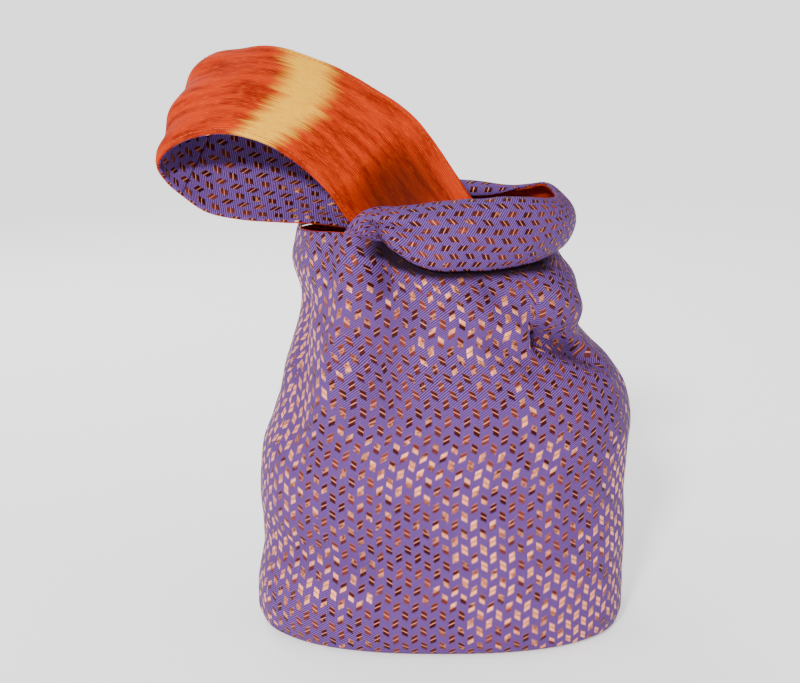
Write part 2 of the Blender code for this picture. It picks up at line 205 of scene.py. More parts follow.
# Folds and ridges run along a line on the body. Heights are in body heights, depth in fold
# scales, outwards where positive, and spread in half body depths.
FOLDS = (
    # direction and height where it starts, and where it ends, depth, spread
    (230.0, 1.060, 222.0, 0.620, 0.50, 0.22),
    (245.0, 1.060, 243.0, 0.960, -0.50, 0.10),
    (252.0, 0.950, 240.0, 0.700, -0.30, 0.24),
    (338.0, 0.750, 315.0, 0.815, -1.05, 0.090),
    (315.0, 0.820, 296.0, 0.940, -0.30, 0.13),
    (325.0, 0.915, 338.0, 0.890, 0.45, 0.20),
    (293.0, 0.822, 307.0, 0.765, -0.30, 0.10),
    (303.0, 0.860, 337.0, 0.715, 0.30, 0.08),
    (200.0, 0.28, 236.0, 0.24, -0.20, 0.18),
    (176.0, 0.98, 150.0, 0.80, 0.30, 0.22),
    (196.0, 0.86, 208.0, 0.60, -0.30, 0.20),
    (112.0, 0.97, 128.0, 0.66, -0.40, 0.18),
    (84.0, 0.82, 96.0, 0.52, 0.30, 0.18),
    (16.0, 0.80, 48.0, 0.77, -0.70, 0.13),
)

# Cloth detail
RIPPLE = 0.0005
RIPPLE_LENGTH = 0.026
RIPPLE_WAVES = 14
RIPPLE_SEED = 7
RIPPLE_RIM_FADE = 0.02
RIPPLE_FOOT_FADE = 0.012
RIPPLE_HEM_FADE = 0.25
RIPPLE_END_FADE = 0.1
LOOP_RIPPLE = 0.6
RIM_RISE = 0.0010
SEAM_LINE = 0.00003
CLOSE_GAP = 0.0001
HEM = 0.0006
HEM_TAPER = 0.98
CROSS_SEAM = 0.0002
# The share of the folds' depth that the cloth's flat place follows
FLAT_FOLDS = 0.75
# Directions where the panels' columns stand upright
FRONT_CENTER = 272.0
BACK_CENTER = 92.0

# The base's section: how far it reaches, as a share of the body's foot
BASE_REACHES = (0.0, 0.5, 0.9)
BASE_FLAT = 0.962
BASE_EDGE = 0.968
BASE_ROUND = 0.0005

# The lining's floor and foot: a ring's reach as a share of the wall's lowest ring, and how far
# it has risen to it
LINING_LOW = 0.016
LINING_FLOOR = (
    # reach, rise
    (0.02, 0.0),
    (0.3, 0.0),
    (0.6, 0.0),
    (0.85, 0.0),
    (0.885, 0.015),
    (0.898, 0.10),
    (0.945, 0.38),
    (0.970, 0.7),
)

# Grids: steps along a piece and across it, and the finer steps beside its ends
PANEL_COLUMNS = 190
PANEL_ROWS = 150
BASE_COLUMNS = 240
LINING_COLUMNS = 240
LINING_ROWS = 90
COLLAR_GRID = (280, 48)
COLLAR_END = 0.002
COLLAR_LINING_START = 0.03
COLLAR_LINING_LENGTH = 0.94
LOOP_GRID = (280, 40)
LOOP_END = 0.0015
BACK_STEPS = 100
BACK_END = 0.0035
FRONT_STEPS = 170
FRONT_END = 0.0022

# Brocade: columns of slanting copper floats on a violet twill
COLUMN_PITCH = 0.0054
MOTIF_PITCH = 0.0102
MOTIF_WIDTH = 0.0034
MOTIF_HEIGHT = 0.0053
MOTIF_SLANT = 0.58
MOTIF_LINE = 0.00040
FLOAT_THREAD = 0.0006
FLOAT_EDGE = 0.00012
TWILL_PITCH = 0.0014
TWILL_SLANT = 0.7
LINING_THREAD = 0.0011

# Painted highlight where the floats catch the light: broad patches, and more of them on the body,
# at its left side and low down at its right. Places are in metres, X and Z of the bag.
GLOW_SCALE = 17.0
GLINT_SCALE = 620.0
TONE_SCALE = 900.0
GLOW_START = 0.42
GLOW_END = 0.85
GLOW_TOP = 0.235
GLOW_TOP_FADE = 0.02
GLOW_LEFT = (0.030, 0.085)
GLOW_RIGHT = (-0.02, 0.06)
GLOW_LOW = 0.150
GLOW_LOW_FADE = 0.05

# Painted shade of the body, under the collar's front run and in the folds' valleys: in metres
# below the mouth's edge and in degrees round it
SHADE_STRENGTH = 0.96
SHADE_DEPTH = 0.0070
SHADE_FADE = 0.0042
SHADE_START = 230.0
SHADE_START_FADE = 14.0
SHADE_END = 346.0
SHADE_END_FADE = 20.0
VALLEY_SHADE = 0.5

# Painted shade of the collar, as shares of its length and of its width: along the lower edge of
# its front run, and in the pocket at its left end
LOWER_SHADE = 0.75
LOWER_ACROSS = (0.05, 0.16)
LOWER_START = (0.05, 0.08)
LOWER_END = (0.52, 0.10)
POCKET_SHADE = 0.8
POCKET_PLACE = (0.13, 0.34)
POCKET_SIZE = (0.045, 0.16)

# Stitches
STITCH_PITCH = 0.0032
STITCH_LENGTH = 0.0024
STITCH_INSET = 0.0030
STITCH_START = 0.02
STITCH_END = 0.98
STITCH_STEPS = 900
STITCH_SIDE = 0.01
THREAD = 0.00035
THREAD_RISE = 0.2

# Colours, linear
VIOLET_LIGHT = (0.168, 0.072, 0.285)
VIOLET_DARK = (0.014, 0.006, 0.040)
# Painted shade in the creases
PAINTED_SHADE_COLOR = (0.006, 0.002, 0.004)
COPPER_DARK = (0.034, 0.005, 0.004)
COPPER_MIDDLE = (0.155, 0.030, 0.019)
# Painted highlights of the floats: the brightest copper, and the copper of their edge lines
COPPER_HIGHLIGHT = (0.96, 0.36, 0.18)
COPPER_EDGE_HIGHLIGHT = (0.66, 0.21, 0.13)
ORANGE = (0.54, 0.030, 0.0003)
ORANGE_RED = (0.25, 0.008, 0.0002)
ORANGE_LIGHT = (0.72, 0.095, 0.001)
# Dark orange of the weave, also the painted shade near the long handle's root
ORANGE_WEAVE_AND_SHADE = (0.035, 0.003, 0.001)
YELLOW = (1.0, 0.50, 0.02)
THREAD_ORANGE = (0.50, 0.09, 0.01)

# Places on the long handle, in metres from its end in the mouth and from its middle: the yellow
# patch, and the painted shade near the mouth
PATCH_PLACE = 0.3353
PATCH_WIDTH = 0.020
PATCH_LEAN = -0.038
PATCH_BOW = -10.4
ROOT_PLACE = 0.415
ROOT_ACROSS = -0.002
ROOT_REACH = 0.034

# Floor, lights and camera
FLOOR = 30.0
PAPER = (0.86, 0.86, 0.87)
PAPER_GLOW = 0.55
WHITE = (1.0, 1.0, 1.0)
KEY_POWER = 4.6
KEY_WIDTH = 7.0
KEY_DIRECTION = (0.26, 0.88, -0.46)
SOFT_LIGHTS = (
    # name, place, aim, size, power
    ("fill", (1.2, -0.7, 0.5), (0.0, 0.0, 0.15), 0.7, 3.0),
    ("window", (-1.4, -0.5, 0.35), (0.0, 0.0, 0.15), 0.7, 7.0),
    ("back", (-0.5, 1.0, 0.9), (0.0, 0.0, 0.2), 0.8, 8.0),
)
WALLS = 0.10
CEILING = 1.2
CEILING_RISE = 0.9
CAMERA_PLACE = (-0.025, -0.96, 0.405)
CAMERA_DOWN = 13.6
LENS_PIXELS = 1650
WIDTH_PIXELS = 800
SENSOR = 36.0


def spline(knots, values, at):
    """Values at the given places on a smooth curve through the knots."""
    knots = np.asarray(knots, float)
    values = np.asarray(values, float).reshape(len(knots), -1)
    at = np.asarray(at, float)
    slopes = np.gradient(values, knots, axis=0)
    i = np.clip(np.searchsorted(knots, at, side="right") - 1, 0, len(knots) - 2)
    span = (knots[i + 1] - knots[i])[:, None]
    t = (at[:, None] - knots[i][:, None]) / span
    return (
        values[i] * (1 + 2 * t) * (1 - t) ** 2
        + slopes[i] * span * t * (1 - t) ** 2
        + values[i + 1] * t * t * (3 - 2 * t)
        + slopes[i + 1] * span * t * t * (t - 1)
    )


def rim_height(direction):
    """Height of the mouth's edge in the given directions."""
    turn = np.mod(np.asarray(direction, float), 360.0)
    rows = [(d + lap, h) for lap in (-360.0, 0.0, 360.0) for d, h in RIM]
    knots, heights = zip(*rows)
    return spline(knots, heights, turn.ravel())[:, 0].reshape(turn.shape) * BODY_HEIGHT


def from_line(x, y, run, rise):
    """Distance of points from a line that starts at the origin and has a run and a rise."""
    along = np.clip((x * run + y * rise) / (run * run + rise * rise), 0.0, 1.0)
    return np.hypot(x - along * run, y - along * rise)


def fold_offset(direction, height):
    """How far the folds push the body's wall outwards."""
    arc = math.radians(1.0) * BODY_WIDTH / 2
    total = np.zeros_like(height)
    for from_direction, from_height, to_direction, to_height, depth, spread in FOLDS:
        x = (np.mod(direction - from_direction + 180.0, 360.0) - 180.0) * arc
        y = height - from_height * BODY_HEIGHT
        run = (np.mod(to_direction - from_direction + 180.0, 360.0) - 180.0) * arc
        rise = (to_height - from_height) * BODY_HEIGHT
        away = from_line(x, y, run, rise)
        total += depth * FOLD_SCALE * np.exp(-((away / (spread * BODY_DEPTH / 2)) ** 2))
    return total


def body_points(direction, height, folds=1.0):
    """Points on the outside of the body, at directions in degrees and heights in metres, with
    all of its folds or only a share of their depth."""
    direction = np.asarray(direction, float)
    direction, height = np.broadcast_arrays(direction, np.asarray(height, float))
    levels = np.array(SECTIONS)
    level = spline(levels[:, 0] * BODY_HEIGHT, levels[:, 1:], height.ravel())
    middle, half, front, back, square = level.T.reshape(5, *height.shape)
    c = np.cos(np.radians(direction))
    s = np.sin(np.radians(direction))
    depth = np.where(s < 0, front, back) * BODY_DEPTH / 2
    width = half * BODY_WIDTH / 2
    radius = (np.abs(c / width) ** square + np.abs(s / depth) ** square) ** (-1 / square)
    radius = radius + folds * fold_offset(direction, height)
    return np.stack([middle * BODY_WIDTH / 2 + radius * c, radius * s, height], axis=-1)


def across(low, high, out, bulge, curl, share, fold=0.0):
    """Points across a handle between its edges: an arc that bulges out and curls at its edges."""
    chord = high - low
    unit = chord / np.linalg.norm(chord, axis=-1, keepdims=True)
    out = out - unit * np.sum(out * unit, axis=-1, keepdims=True)
    out = out / np.linalg.norm(out, axis=-1, keepdims=True)
    limit = np.radians(curl)
    turn = (2 * share - 1) * limit
    lengthways = 0.5 + 0.5 * np.sin(turn) / np.sin(limit)
    outwards = (np.cos(turn) - np.cos(limit)) / (1 - np.cos(limit))
    reach = (bulge * outwards + fold) * HANDLE_WIDTH
    return low + chord * lengthways[..., None] + out * reach[..., None]


def mouth(table, first):
    """Points of a table's x, y and z columns, in metres."""
    return table[:, first:first + 3] * HANDLE_WIDTH + np.array([0.0, 0.0, BODY_HEIGHT])


def collar_fold(u, share):
    """How far the collar's dents and ridges push it outwards, in handle widths."""
    total = np.zeros_like(share)
    for from_u, from_share, to_u, to_share, depth, spread in COLLAR_FOLDS:
        x = (u - from_u) * COLLAR_RUN
        y = share - from_share
        run = (to_u - from_u) * COLLAR_RUN
        rise = to_share - from_share
        away = from_line(x, y, run, rise)
        total += depth * np.exp(-((away / spread) ** 2))
    return total * np.clip(5 * share * (1 - share), 0.0, 1.0)


def collar_section(u, share):
    """Points across the short handle at the given places along it."""
    table = np.array(COLLAR)
    knots = np.linspace(0.0, 1.0, len(table))
    direction = spline(knots, table[:, 0], u)[:, 0]
    low = body_points(direction, rim_height(direction) + COLLAR_SEAT)
    high = spline(knots, mouth(table, 1), u)
    bulge, curl = spline(knots, table[:, 4:6], u).T
    turn = np.radians(direction)
    out = np.stack([np.cos(turn), np.sin(turn), 0.0 * turn], axis=-1)
    return across(low, high, out, bulge, curl, share, collar_fold(u, share))


def collar_points(u, share):
    """Points on the outside of the short handle: u runs along it and share across it."""
    u, share = np.broadcast_arrays(np.asarray(u, float), np.asarray(share, float))
    place, part = u.ravel(), share.ravel()
    points = collar_section(place, part)
    beside = (place - DROOP_MIDDLE) / DROOP_RUN
    above = (part - DROOP_SHARE) / DROOP_SPREAD
    hang = np.exp(-(beside ** 4) - above ** 2)
    points[:, 2] -= DROOP * hang * np.clip(part / DROOP_SEAT, 0.0, 1.0)
    for end, root in zip((0.0, 1.0), COLLAR_ROOTS):
        weight = np.clip(1 - np.abs(place - end) / COLLAR_BLEND, 0.0, 1.0) ** 2
        start = COLLAR[0 if end == 0.0 else -1][0]
        turned = start + (root - start) * part
        rooted = body_points(turned, rim_height(turned) + COLLAR_SEAT)
        points = points + (rooted - collar_section(0 * place + end, part)) * weight[:, None]
    return points.reshape(*u.shape, 3)


def loop_edges(u):
    """Lower and upper edge and bulge of the long handle at the given places."""
    table = np.array(LOOP)
    knots = np.linspace(0.0, 1.0, len(table))
    low = spline(knots, mouth(table, 0), u)
    high = spline(knots, mouth(table, 3), u)
    return low, high, spline(knots, table[:, 6], u)[:, 0]


def inside(points, first, second, steps, depth):
    """Points a depth below a surface, measured along its normals."""
    du = points(first + steps[0], second) - points(first - steps[0], second)
    dv = points(first, second + steps[1]) - points(first, second - steps[1])
    normal = np.cross(du, dv)
    normal /= np.linalg.norm(normal, axis=-1, keepdims=True)
    return points(first, second) - normal * depth


def loop_section(u, share):
    """Points across the long handle at the given places along it."""
    low, high, bulge = loop_edges(u)
    before = loop_edges(u - NEARBY)
    after = loop_edges(u + NEARBY)
    along = after[0] + after[1] - before[0] - before[1]
    out = np.cross(along, high - low)
    near_tip = np.exp(-(((u - TIP) / TIP_RUN) ** 2))
    wave = TIP_WAVE * np.sin(TIP_WAVES * 2 * math.pi * share) * near_tip
    return across(low, high, out, bulge, np.full_like(bulge, LOOP_CURL), share, wave)


def loop_points(u, share):
    """Points on the outside of the long handle: u runs along it and share across it."""
    u, share = np.broadcast_arrays(np.asarray(u, float), np.asarray(share, float))
    place, part = u.ravel(), share.ravel()
    points = loop_section(place, part)
    depth = OUTER_CLOTH + LAYER_GAP + LINING_CLOTH + ROOT_GAP
    for end, start, root, height in LOOP_ROOTS:
        weight = np.clip(1 - np.abs(place - end) / LOOP_BLEND, 0.0, 1.0) ** 2
        turned = start + (root - start) * part
        level = np.full_like(turned, height * BODY_HEIGHT)
        rooted = inside(body_points, turned, level, ROOT_STEPS, depth)
        points = points + (rooted - loop_section(0 * place + end, part)) * weight[:, None]
    return points.reshape(*u.shape, 3)


def ripples(points):
    """Small smooth waves of the cloth at the given points, from about -1 to 1."""
    order = np.random.default_rng(RIPPLE_SEED)
    waves = np.zeros(points.shape[:-1])
    for _ in range(RIPPLE_WAVES):
        heading = order.normal(size=3)
        heading /= np.linalg.norm(heading)
        length = RIPPLE_LENGTH * (0.55 + 1.3 * order.random())
        phase = order.random() * 2 * math.pi
        waves += np.sin(points @ heading * (2 * math.pi / length) + phase)
    return waves / 5


def ease(distance, reach):
    """0 at an edge, rising smoothly to 1 at reach from it."""
    t = np.clip(distance / reach, 0.0, 1.0)
    return t * t * (3 - 2 * t)


def slope(grid, axis, closed):
    """Difference between the neighbours of each point of a grid, along one axis."""
    if closed:
        return np.roll(grid, -1, axis=axis) - np.roll(grid, 1, axis=axis)
    return np.gradient(grid, axis=axis)


def below(grid, depth, closed=False):
    """A grid of points moved below its surface. Its columns run round or along the piece."""
    normal = np.cross(slope(grid, 1, closed), slope(grid, 0, False))
    normal /= np.linalg.norm(normal, axis=-1, keepdims=True)
    return grid - normal * np.broadcast_to(depth, grid.shape[:2])[..., None]


def wall(turn, height, closed=False):
    """The body's outer side with the cloth's small ripples."""
    grid = body_points(turn, height)
    fade = ease(rim_height(turn) - height, RIPPLE_RIM_FADE) * ease(height, RIPPLE_FOOT_FADE)
    return below(grid, -RIPPLE * fade * ripples(grid), closed)


def strip(points, place, share, amount):
    """A handle's outer side with small ripples, still at its lower edge and its ends."""
    grid = points(place, share)
    ends = ease(place, RIPPLE_END_FADE) * ease(1 - place, RIPPLE_END_FADE)
    fade = ease(share, RIPPLE_HEM_FADE) * ends
    return below(grid, -amount * RIPPLE * fade * ripples(grid))


def arc(points, axis):
    """Distance along one axis of a grid of points, from its first row or column."""
    steps = np.linalg.norm(np.diff(points, axis=axis), axis=-1)
    start = np.zeros_like(np.take(steps, [0], axis=axis))
    return np.cumsum(np.concatenate([start, steps], axis=axis), axis=axis)


def to_edge(grid):
    """Distance of a grid's points from its nearest edge."""
    beside = np.minimum(arc(grid, 1), arc(grid[:, ::-1], 1)[:, ::-1])
    ends = np.minimum(arc(grid, 0), arc(grid[::-1], 0)[::-1])
    return np.minimum(beside, ends)


def hem(distance, thickness):
    """How much thinner half of a cloth gets towards a rounded edge."""
    radius = thickness / 2
    inset = np.clip(1 - distance / radius, 0.0, 1.0)
    return radius * (1 - np.sqrt(np.maximum(1 - inset * inset, 0.0)))


def with_hems(count, edge):
    """Even steps from 0 to 1, with finer ones beside both ends for a rounded hem."""
    fine = np.array([0.0, 0.13, 0.4, 1.0]) * edge
    middle = np.linspace(edge, 1 - edge, count)[1:-1]
    return np.concatenate([fine, middle, 1 - fine[::-1]])


def cloth_mesh(name, outer, inner, flat, material, wrap=False, painted_shade=None):
    """A sheet of cloth from its outer and inner grids. flat gives each point's place in the
    cloth as it was cut, in metres, first across the weave's columns and then along them."""
    rows, columns = outer.shape[:2]
    count = rows * columns
    number = np.arange(count).reshape(rows, columns)
    steps = columns if wrap else columns - 1
    here = number[:-1, :steps].ravel()
    right = np.roll(number, -1, axis=1)[:-1, :steps].ravel()
    up = number[1:, :steps].ravel()
    far = np.roll(number, -1, axis=1)[1:, :steps].ravel()
    quads = [
        np.stack([here, right, far, up], axis=1),
        np.stack([here, up, far, right], axis=1) + count,
    ]
    if wrap:
        rings = [number[0], number[-1][::-1]]
    else:
        sides = [number[0], number[1:, -1], number[-1, -2::-1], number[-2:0:-1, 0]]
        rings = [np.concatenate(sides)]
    for ring in rings:
        after = np.roll(ring, -1)
        quads.append(np.stack([ring, ring + count, after + count, after], axis=1))
    quads = np.concatenate(quads)
    mesh = bpy.data.meshes.new(name)
    points = np.concatenate([outer.reshape(-1, 3), inner.reshape(-1, 3)])
    mesh.from_pydata(points, [], quads)
    places = np.concatenate([flat.reshape(-1, 2)] * 2)
    layer = mesh.uv_layers.new(name="cloth")
    loops = np.empty(len(mesh.loops), dtype=np.int32)
    mesh.loops.foreach_get("vertex_index", loops)
    layer.data.foreach_set("uv", places[loops].ravel())
    mesh.polygons.foreach_set("use_smooth", np.ones(len(mesh.polygons), dtype=bool))
    # Painted shade, read by the material as an attribute
    if painted_shade is not None:
        dark = mesh.attributes.new("painted_shade", "FLOAT", "POINT")
        dark.data.foreach_set("value", np.concatenate([painted_shade.ravel()] * 2))
    mesh.materials.append(material)
    mesh.update()
    piece = bpy.data.objects.new(name, mesh)
    bpy.context.collection.objects.link(piece)
    return piece


def face_outwards(piece):
    """Turn a closed mesh's faces outwards."""
    work = bmesh.new()
    work.from_mesh(piece.data)
    bmesh.ops.recalc_face_normals(work, faces=work.faces[:])
    work.to_mesh(piece.data)
    work.free()
    return piece


class Socket:
    """A node's output that can be used in sums, products and comparisons."""

    def __init__(self, shader, link):
        self.shader, self.link = shader, link

    def math(self, operation, *others):
        return self.shader.node("ShaderNodeMath", {"operation": operation}, [self, *others])

    def __add__(self, other):
        return self.math("ADD", other)

    __radd__ = __add__

    def __sub__(self, other):
        return self.math("SUBTRACT", other)

    def __rsub__(self, other):
        return self.shader.node("ShaderNodeMath", {"operation": "SUBTRACT"}, [other, self])

    def __mul__(self, other):
        return self.math("MULTIPLY", other)

    __rmul__ = __mul__

    def __truediv__(self, other):
        return self.math("DIVIDE", other)

    def __gt__(self, other):
        return self.math("GREATER_THAN", other)

    def floor(self):
        return self.math("FLOOR")

    def fraction(self):
        return self.math("FRACT")

    def size(self):
        return self.math("ABSOLUTE")

    def sine(self):
        return self.math("SINE")

    def clamp(self, low, high):
        return self.math("MAXIMUM", low).math("MINIMUM", high)

    def smooth(self, start, end):
        """0 before start and 1 after end, with a smooth step between."""
        settings = {"interpolation_type": "SMOOTHSTEP"}
        values = {"Value": self, "From Min": start, "From Max": end}
        return self.shader.node("ShaderNodeMapRange", settings, values)


class Shader:
    """A material's nodes, built from expressions."""

    def __init__(self, name):
        self.material = bpy.data.materials.new(name)
        self.material.use_nodes = True
        self.tree = self.material.node_tree
        self.surface = self.tree.nodes["Principled BSDF"]

    def plug(self, socket, value):
        if isinstance(value, Socket):
            self.tree.links.new(value.link, socket)
        elif isinstance(value, tuple) and len(value) == 3 and socket.type == "RGBA":
            socket.default_value = (*value, 1.0)
        else:
            socket.default_value = value

    def node(self, kind, settings, inputs, output=0):
        made = self.tree.nodes.new(kind)
        for key, value in settings.items():
            setattr(made, key, value)
        named = inputs.items() if isinstance(inputs, dict) else enumerate(inputs)
        for key, value in named:
            self.plug(made.inputs[key], value)
        return Socket(self, made.outputs[output])

    def mix(self, factor, first, second):
        """Two colours mixed."""
        made = self.tree.nodes.new("ShaderNodeMix")
        made.data_type = "RGBA"
        for key, value in ((0, factor), (6, first), (7, second)):
            self.plug(made.inputs[key], value)
        return Socket(self, made.outputs[2])

    def cloth_place(self):
        """Distance across the weave's columns and along them, in metres."""
        place = self.node("ShaderNodeUVMap", {"uv_map": "cloth"}, [])
        parts = self.node("ShaderNodeSeparateXYZ", {}, [place])
        return parts, Socket(self, parts.link.node.outputs[1])

    def place(self):
        """Place on the bag, in metres."""
        return self.node("ShaderNodeTexCoord", {}, [], output=3)

    def noise(self, vector, scale, detail):
        """Smooth noise at a place, around a half."""
        inputs = {"Vector": vector, "Scale": scale, "Detail": detail}
        return self.node("ShaderNodeTexNoise", {}, inputs)

    def chance(self, vector):
        """A random number for each place, from 0 to 1."""
        return self.node("ShaderNodeTexWhiteNoise", {"noise_dimensions": "3D"}, {"Vector": vector})

    def bump(self, strength, distance, height):
        inputs = {"Strength": strength, "Distance": distance, "Height": height}
        return self.node("ShaderNodeBump", {}, inputs)

    def vector(self, x, y, z=0.0):
        return self.node("ShaderNodeCombineXYZ", {}, [x, y, z])

    def finish(self, **sockets):
        for name, value in sockets.items():
            self.plug(self.surface.inputs[name.replace("_", " ")], value)
        return self.material


def float_glow(s, place, half_chance):
    """How much painted highlight a float gets where it catches the light, from 0 to 1."""
    patch = s.noise(place, GLOW_SCALE, 2.0)
    glint = s.noise(place, GLINT_SCALE, 1.0)
    beside = s.node("ShaderNodeSeparateXYZ", {}, [place])
    high = Socket(s, beside.link.node.outputs[2])
    # Painted highlight is stronger on the body, at its left side and low down at its right
    body = (GLOW_TOP - high).smooth(0.0, GLOW_TOP_FADE)
    left = (0.0 - beside).smooth(*GLOW_LEFT)
    low = (GLOW_LOW - high).smooth(0.0, GLOW_LOW_FADE) * beside.smooth(*GLOW_RIGHT)
    painted_side_light = (left * 0.30 + low * 0.20) * body
    bright = patch * 2.2 - 1.1 + half_chance * 0.7 - 0.3 + glint * 0.6 - 0.3
    return (bright + painted_side_light + body * 0.24).smooth(GLOW_START, GLOW_END)


def brocade_cloth():
    """Violet twill with slanting copper floats in columns, each in two pillowed halves."""
    s = Shader("brocade")
    x, y = s.cloth_place()
    place = s.place()
    # Each float has a column and a number in it, and leans the other way in the next column
    column = (x / COLUMN_PITCH).floor()
    turned = (column * 0.5).fraction() * 2.0
    lean = 1.0 - turned * 2.0
    local = x - (column + 0.5) * COLUMN_PITCH
    along = y + turned * (MOTIF_PITCH / 2) - local * lean * MOTIF_SLANT
    motif = (along / MOTIF_PITCH).floor()
    rise = along - (motif + 0.5) * MOTIF_PITCH
    half_width, half_height = MOTIF_WIDTH / 2, MOTIF_HEIGHT / 2
    side = 1.0 - local.size().smooth(half_width - FLOAT_EDGE, half_width + FLOAT_EDGE)
    reach = 1.0 - rise.size().smooth(half_height - FLOAT_EDGE, half_height + FLOAT_EDGE)
    float_mask = side * reach
    chance = s.chance(s.vector(column, motif, 3.0))
    half_chance = s.chance(s.vector(column, motif, rise > 0.0))
    # Painted highlight lines between a float's halves and along its upper edge, darker on the
    # brightest floats
    upper = (rise - half_height + MOTIF_LINE).smooth(0.0, MOTIF_LINE / 2)
    middle = 1.0 - rise.size().smooth(MOTIF_LINE / 2, MOTIF_LINE)
    line = (upper * 0.5 + middle).clamp(0.0, 1.0)
    glow = float_glow(s, place, half_chance)
    copper = s.mix(chance * chance, COPPER_DARK, COPPER_MIDDLE)
    # Painted highlight on the floats that catch the light
    copper = s.mix(glow * 0.9, copper, COPPER_HIGHLIGHT)
    # Painted highlight along the float's edge lines
    copper = s.mix(line * 0.85, copper, s.mix(glow, COPPER_EDGE_HIGHLIGHT, COPPER_MIDDLE))
    twill = ((y - x * TWILL_SLANT) * (2 * math.pi / TWILL_PITCH)).sine().smooth(-0.5, 0.5)
    tone = s.noise(place, TONE_SCALE, 1.0)
    ground = s.mix(twill * 0.7 + tone * 0.3, VIOLET_DARK, VIOLET_LIGHT)
    # Painted shade in the creases darkens the colour and dulls the floats
    painted_shade = s.node("ShaderNodeAttribute", {"attribute_name": "painted_shade"}, [], output=2)
    color = s.mix(painted_shade * SHADE_STRENGTH, s.mix(float_mask, ground, copper), PAINTED_SHADE_COLOR)
    # The floats stand proud of the twill, and tilt a little at random
    threads = (along * (2 * math.pi / FLOAT_THREAD)).sine()
    half_rise = rise.size() - MOTIF_HEIGHT / 4
    pillow = 1.0 - half_rise * half_rise * (16 / MOTIF_HEIGHT ** 2)
    barrel = 1.0 - local * local * (4 / MOTIF_WIDTH ** 2) * 0.7
    tilt = (half_chance - 0.5) * local * 160.0 + (chance - 0.5) * rise * 90.0
    raised = pillow * barrel * 0.8 + tilt + threads * 0.12 + 0.4
    height = float_mask * raised + (1.0 - float_mask) * twill * 0.25
    return s.finish(
        Base_Color=color,
        Metallic=float_mask * (1.0 - painted_shade) * 0.5,
        Roughness=0.70 - float_mask * 0.28 + painted_shade * 0.3,
        Normal=s.bump(0.8, 0.00035, height),
        Specular_IOR_Level=0.08,
    )


def ikat_cloth(name, banded):
    """Shot orange with fine streaks along the strap. A banded one has the yellow ikat patch, and
    painted shade near its root in the mouth.
    """
    s = Shader(name)
    x, y = s.cloth_place()
    streak = s.noise(s.vector(x * 1700.0, y * 190.0), 1.0, 2.0)
    band = s.noise(s.vector(x * 260.0, y * 34.0, 5.0), 1.0, 3.0)
    color = s.mix(band.smooth(0.35, 0.7), ORANGE, ORANGE_RED)
    color = s.mix(streak.smooth(0.45, 0.8) * 0.6, color, ORANGE_LIGHT)
    if banded:
        jagged = {"W": x * 190.0, "Scale": 1.0, "Detail": 5.0, "Roughness": 0.75}
        jag = s.node("ShaderNodeTexNoise", {"noise_dimensions": "1D"}, jagged)
        shift = y + (jag - 0.5) * 0.030 - x * PATCH_LEAN - x * x * PATCH_BOW
        edge = (shift - PATCH_PLACE).size()
        patch = 1.0 - edge.smooth(PATCH_WIDTH * 0.25, PATCH_WIDTH)
        color = s.mix((patch * (0.45 + streak * 0.9)).clamp(0.0, 1.0), color, YELLOW)
        # Painted shade near the root, where the strap turns into the mouth
        across_root = (x - ROOT_ACROSS) / ROOT_REACH
        along_root = (y - ROOT_PLACE) / ROOT_REACH
        far = across_root * across_root + along_root * along_root
        color = s.mix((1.0 - far.smooth(0.0, 1.0)) * 0.75, color, ORANGE_WEAVE_AND_SHADE)
    weft = (x * (2 * math.pi / LINING_THREAD)).sine() * 0.5 + 0.5
    warp = (y * (2 * math.pi / LINING_THREAD)).sine() * 0.5 + 0.5
    color = s.mix(weft * 0.42, color, ORANGE_WEAVE_AND_SHADE)
    height = weft * 0.6 + warp * 0.3 + streak
    return s.finish(
        Base_Color=color,
        Roughness=0.50 + streak * 0.2,
        Normal=s.bump(0.6, 0.00018, height),
        Specular_IOR_Level=0.06,
    )


def thread_cloth(name, color):
    """Sewing thread."""
    s = Shader(name)
    ply = s.noise(s.place(), 2500.0, 2.0)
    shade = tuple(c * 0.6 for c in color)
    return s.finish(Base_Color=s.mix(ply, color, shade), Roughness=0.7)


def panel_piece(name, start, end, center, material):
    """An outer panel between the two side seams, its columns upright at its middle."""
    clearance = math.degrees(SEAM_LINE / BODY_WIDTH)
    edge = HEM / (BODY_WIDTH * math.pi / 2)
    direction = start + clearance + (end - start - 2 * clearance) * with_hems(PANEL_COLUMNS, edge)
    turn, share = np.meshgrid(direction, with_hems(PANEL_ROWS, HEM / BODY_HEIGHT))
    low = OUTER_CLOTH
    height = low + (rim_height(turn) + RIM_RISE - low) * share
    grid = wall(turn, height)
    thin = hem(arc(grid[::-1], 0)[::-1], OUTER_CLOTH)
    outer = below(grid, thin)
    inner = below(grid, OUTER_CLOTH - thin)
    inner[..., 2] = np.maximum(inner[..., 2], low)
    plain = body_points(turn, height, folds=FLAT_FOLDS)
    around = arc(plain, 1)
    middle = np.array([np.interp(center, direction, row) for row in around])
    flat = np.stack([around - middle[:, None], arc(plain, 0)], axis=-1)
    # Painted shade where the collar's front run hangs over the panel
    under = 1 - ease(rim_height(turn) - height - SHADE_DEPTH, SHADE_FADE)
    under = under * ease(turn - SHADE_START, SHADE_START_FADE)
    under = under * ease(SHADE_END - turn, SHADE_END_FADE)
    # Painted shade in the valleys of the folds
    valley = np.clip(-fold_offset(turn, height) / FOLD_SCALE, 0.0, 1.0)
    under = np.maximum(under, VALLEY_SHADE * valley)
    piece = cloth_mesh(name, outer, inner, flat, material, painted_shade=under)
    return face_outwards(piece), flat


